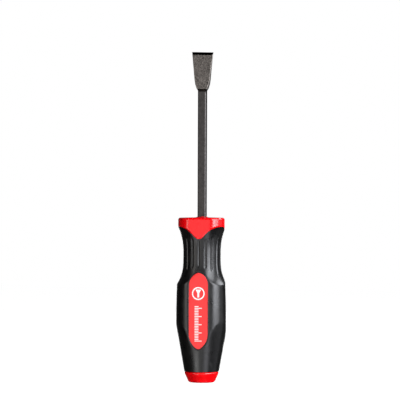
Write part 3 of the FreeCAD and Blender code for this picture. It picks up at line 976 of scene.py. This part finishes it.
def matt_red_plastic():
    """Polypropylene moulded against spark-eroded steel.

    The fine pitted grain scatters light, so the same red looks paler and chalkier, and slightly
    clouded where the grain has been rubbed.
    """
    material, tree, place = start_material("spark_eroded_polypropylene_red")
    grain = add(tree, "ShaderNodeTexNoise", place, named={"Scale": scale_for(0.45), "Detail": 3.0})
    clouds = add(tree, "ShaderNodeTexNoise", place, named={"Scale": scale_for(3.5), "Detail": 4.0})
    tone = add(tree, "ShaderNodeMix", clouds, data_type="RGBA",
               named={"A": colour("e62221"), "B": colour("f23332")})
    rough = add(tree, "ShaderNodeMapRange", clouds, 0.3, 0.7, 0.46, 0.6)
    pits = add(tree, "ShaderNodeBump", named={"Strength": 0.5, "Distance": 0.03 * MM, "Height": grain})
    return end_material(material, {
        "Base Color": tone, "Roughness": rough, "IOR": 1.49, "Normal": pits})


def soft_black_rubber():
    """Thermoplastic rubber overmoulded in a finely textured tool.

    Nearly black, with a broad satin sheen, pale dusty scuffs where a hand wears it, and a grain
    just coarse enough to break up the sheen. The grain is drawn coarser than real so that it shows.
    """
    material, tree, place = start_material("overmoulded_rubber_black")
    grain = add(tree, "ShaderNodeTexNoise", place, named={"Scale": scale_for(0.35), "Detail": 2.0})
    wear = add(tree, "ShaderNodeTexNoise", place,
               named={"Scale": scale_for(5), "Detail": 6.0, "Roughness": 0.62})
    specks = add(tree, "ShaderNodeTexNoise", place, named={"Scale": scale_for(0.9), "Detail": 4.0})
    dusty = add(tree, "ShaderNodeMapRange", wear, 0.5, 0.8, 0.0, 0.55)
    tone = add(tree, "ShaderNodeMix", dusty, data_type="RGBA",
               named={"A": colour("080808"), "B": colour("1d1c1b")})
    speckled = add(tree, MATH, specks, 0.3, operation="MULTIPLY")
    worn = add(tree, MATH, wear, speckled, operation="ADD")
    rough = add(tree, "ShaderNodeMapRange", worn, 0.4, 0.95, 0.24, 0.39)
    texture = add(tree, "ShaderNodeBump", named={"Strength": 0.45, "Distance": 0.03 * MM, "Height": grain})
    return end_material(material, {
        "Base Color": tone, "Roughness": rough, "IOR": 1.5, "Normal": texture})


def steel(name, dark, light, smoothest, roughest, mottle_size, pit_depth):
    """Steel with an oxide skin, mottled in tone and sheen.

    Its pits are drawn coarser than the real grain, so that they show.
    """
    material, tree, place = start_material(name)
    mottle = add(tree, "ShaderNodeTexNoise", place,
                 named={"Scale": scale_for(mottle_size), "Detail": 7.0, "Roughness": 0.68})
    pits = add(tree, "ShaderNodeTexNoise", place,
               named={"Scale": scale_for(0.5), "Detail": 4.0, "Roughness": 0.6})
    tone_share = add(tree, "ShaderNodeMapRange", mottle, 0.32, 0.68, 0.0, 1.0)
    tone = add(tree, "ShaderNodeMix", tone_share, data_type="RGBA",
               named={"A": colour(dark), "B": colour(light)})
    rough = add(tree, "ShaderNodeMapRange", pits, 0.3, 0.7, smoothest, roughest)
    pitted = add(tree, "ShaderNodeBump",
                 named={"Strength": 0.6, "Distance": pit_depth * MM, "Height": pits})
    return end_material(material, {
        "Base Color": tone, "Metallic": 1.0, "Roughness": rough, "Normal": pitted})


def blackened_bar_steel():
    """Drawn bar with a thin hot-oil black: even, satin and brownish grey in the light."""
    return steel("oil_blackened_drawn_bar", "3d3b3a", "4f4c4b", 0.26, 0.36, 2.4, 0.015)


def blasted_blade_steel():
    """Hammer-forged blade, grit-blasted before it was blackened: rougher, greyer, blotchy."""
    return steel("blasted_forged_steel", "35322f", "968f89", 0.42, 0.6, 0.9, 0.06)


def painted_dark_bevel_steel():
    """The ground edge, with fine grinding lines. Its near-black tone is a painted dark reflection, standing
    in for the dark room that the polished edge mirrors.
    """
    return steel("ground_edge_painted_dark_steel", "101012", "1a1a1c", 0.14, 0.2, 0.8, 0.01)


def root_painted_shadow_steel():
    """Painted shadow: near-black, dull steel on the step under the blade, standing in for the shade under
    the blade's root.
    """
    return steel("root_painted_shadow_steel", "12100f", "211d1b", 0.34, 0.48, 0.8, 0.01)


def core_plastic():
    """Glass-filled polypropylene core: hidden, dull red, with the swirl of its filler."""
    material, tree, place = start_material("glass_filled_core")
    swirl = add(tree, "ShaderNodeTexNoise", place,
                named={"Scale": scale_for(6), "Detail": 4.0, "Distortion": 1.5})
    tone = add(tree, "ShaderNodeMix", swirl, data_type="RGBA",
               named={"A": colour("a01a16"), "B": colour("b8332b")})
    fibres = add(tree, "ShaderNodeBump", named={"Strength": 0.3, "Distance": 0.03 * MM, "Height": swirl})
    return end_material(material, {
        "Base Color": tone, "Roughness": 0.5, "IOR": 1.5, "Normal": fibres})


def printing_ink():
    """Pad-printed ink: dull white, a little thin, so that the grain under it shows through."""
    material, tree, place = start_material("pad_print_ink_white")
    thin = add(tree, "ShaderNodeTexNoise", place, named={"Scale": scale_for(0.4), "Detail": 3.0})
    share = add(tree, "ShaderNodeMapRange", thin, 0.55, 0.8, 0.0, 0.35)
    tone = add(tree, "ShaderNodeMix", share, data_type="RGBA",
               named={"A": colour("fdeae6"), "B": colour("f0938d")})
    return end_material(material, {
        "Base Color": tone, "Roughness": 0.55, "IOR": 1.5})


def paper_white():
    """Seamless paper: coated and evenly lit, so as white as the room, with a faint fibre."""
    material, tree, place = start_material("seamless_paper_white")
    fibre = add(tree, "ShaderNodeTexNoise", place, named={"Scale": scale_for(3), "Detail": 2.0})
    tone = add(tree, "ShaderNodeMix", fibre, data_type="RGBA",
               named={"A": colour("fcfcfc"), "B": colour("ffffff")})
    return end_material(material, {
        "Base Color": colour("404040"), "Roughness": 0.9, "Emission Color": tone, "Emission Strength": 1.0})


# Studio ---------------------------------------------------------------------------------------


def look_in(azimuth, elevation, distance, height, roll=0):
    """Where something stands, and how it turns, to look at the tool's axis from a distance."""
    side, up = math.radians(azimuth), math.radians(elevation)
    back = Vector((math.sin(side) * math.cos(up), -math.cos(side) * math.cos(up), math.sin(up)))
    turn = Matrix.Rotation(side, 4, "Z") @ Matrix.Rotation(math.pi / 2 - up, 4, "X")
    spot = Matrix.Translation(back * distance + Vector((0, 0, height * MM)))
    return spot @ turn @ Matrix.Rotation(math.radians(roll), 4, "Z")


# Camera: a long lens a little to the right of the printed flat, level with the handle's top
CAMERA_AZIMUTH = 9.8
CAMERA_DISTANCE = 1.45
CAMERA_HEIGHT = 112.08
CAMERA_ROLL = 0.2
CAMERA_LENS = 212.0
CAMERA_SHIFT = -0.0055


def set_camera():
    """The camera, upright but for a slight roll."""
    camera = bpy.data.cameras.new("studio_camera")
    camera.sensor_width = 36
    camera.lens = CAMERA_LENS
    camera.shift_x = CAMERA_SHIFT
    camera.clip_end = 20
    stand = bpy.data.objects.new("studio_camera", camera)
    stand.matrix_world = look_in(CAMERA_AZIMUTH, 0, CAMERA_DISTANCE, CAMERA_HEIGHT, CAMERA_ROLL)
    bpy.context.scene.collection.objects.link(stand)
    bpy.context.scene.camera = stand


# Each box: name, azimuth, elevation, distance, width and height in metres, radiance, colour
LIT_HEIGHT = 100
SOFTBOXES = (
    ("key_right", 60.0, 16, 0.8, 0.62, 0.75, 7.4, "f7f9ff"),
    ("key_heart", 52.5, 14, 0.8, 0.22, 0.55, 5.0, "f2f6ff"),
    ("side_right", 98.0, 5, 0.8, 0.60, 0.90, 0.6, "f7f9ff"),
    ("shoulder_right", 127.0, 38, 0.8, 0.38, 0.36, 10.0, "f7f9ff"),
    ("wide_fill", -10.5, -10, 1.5, 1.80, 1.35, 1.10, "ffffff"),
    ("strip_left", -43.0, 4, 0.8, 0.12, 0.60, 4.2, "fff8f2"),
    ("low_left", -22.0, -32, 0.8, 0.25, 0.42, 3.0, "ffffff"),
    ("low_right", 37.0, -32, 0.8, 0.30, 0.42, 3.0, "f7f7ff"),
    ("back_fill", 190.0, -14, 0.9, 0.50, 0.40, 4.0, "ffffff"),
)


def set_softboxes():
    """Soft boxes that all face the same height on the tool's axis, unseen themselves."""
    for name, azimuth, elevation, distance, width, height, radiance, tint in SOFTBOXES:
        lamp = bpy.data.lights.new(name, "AREA")
        lamp.shape = "RECTANGLE"
        lamp.size = width
        lamp.size_y = height
        lamp.energy = math.pi * radiance * width * height
        lamp.color = colour(tint)[:3]
        stand = bpy.data.objects.new(name, lamp)
        stand.matrix_world = look_in(azimuth, elevation, distance, LIT_HEIGHT)
        stand.visible_camera = False
        bpy.context.scene.collection.objects.link(stand)


def set_room():
    """A room that looks white, but lights the tool little in front and a bit more from behind."""
    from_front, from_behind = 0.015, 0.06
    room = bpy.data.worlds.new("white_room")
    bpy.context.scene.world = room
    room.use_nodes = True
    tree = room.node_tree
    tree.nodes.clear()
    heading = add(tree, "ShaderNodeTexCoord").outputs["Generated"]
    parts = add(tree, "ShaderNodeSeparateXYZ", heading)
    level = add(tree, "ShaderNodeMapRange", parts.outputs["Y"], 0.0, 1.0, from_front, from_behind)
    seen = add(tree, "ShaderNodeLightPath").outputs["Is Camera Ray"]
    strength = add(tree, "ShaderNodeMix", seen, level, 1.0, data_type="FLOAT")
    light = add(tree, "ShaderNodeBackground", colour("ffffff"), strength)
    add(tree, "ShaderNodeOutputWorld", light)
    bpy.context.scene.view_settings.view_transform = "Standard"


def set_floor(paper):
    """A pale floor just under the butt, which the tool neither mirrors nor shades."""
    half, steps, drop = 1.5, 12, 0.02 * MM
    rulings = [half * (2 * k / steps - 1) for k in range(steps + 1)]
    points = [(x, y, -drop) for y in rulings for x in rulings]
    faces = []
    for row in range(steps):
        for k in range(steps):
            low = row * (steps + 1) + k
            faces.append((low, low + 1, low + steps + 2, low + steps + 1))
    mesh = bpy.data.meshes.new("floor")
    mesh.from_pydata(points, [], faces)
    mesh.materials.append(paper)
    floor = keep(mesh, "floor")
    floor.visible_glossy = False
    floor.visible_diffuse = False
    floor.visible_shadow = False


# The tool -------------------------------------------------------------------------------------

set_camera()
set_softboxes()
set_room()
set_floor(paper_white())

red_gloss = gloss_red_plastic()
make_grip(soft_black_rubber())
make_collar(red_gloss)
make_cap(red_gloss)
make_panels(matt_red_plastic())
make_print(printing_ink())
make_blade(blackened_bar_steel(), blasted_blade_steel(), painted_dark_bevel_steel(), root_painted_shadow_steel())

dress_core(core_plastic())
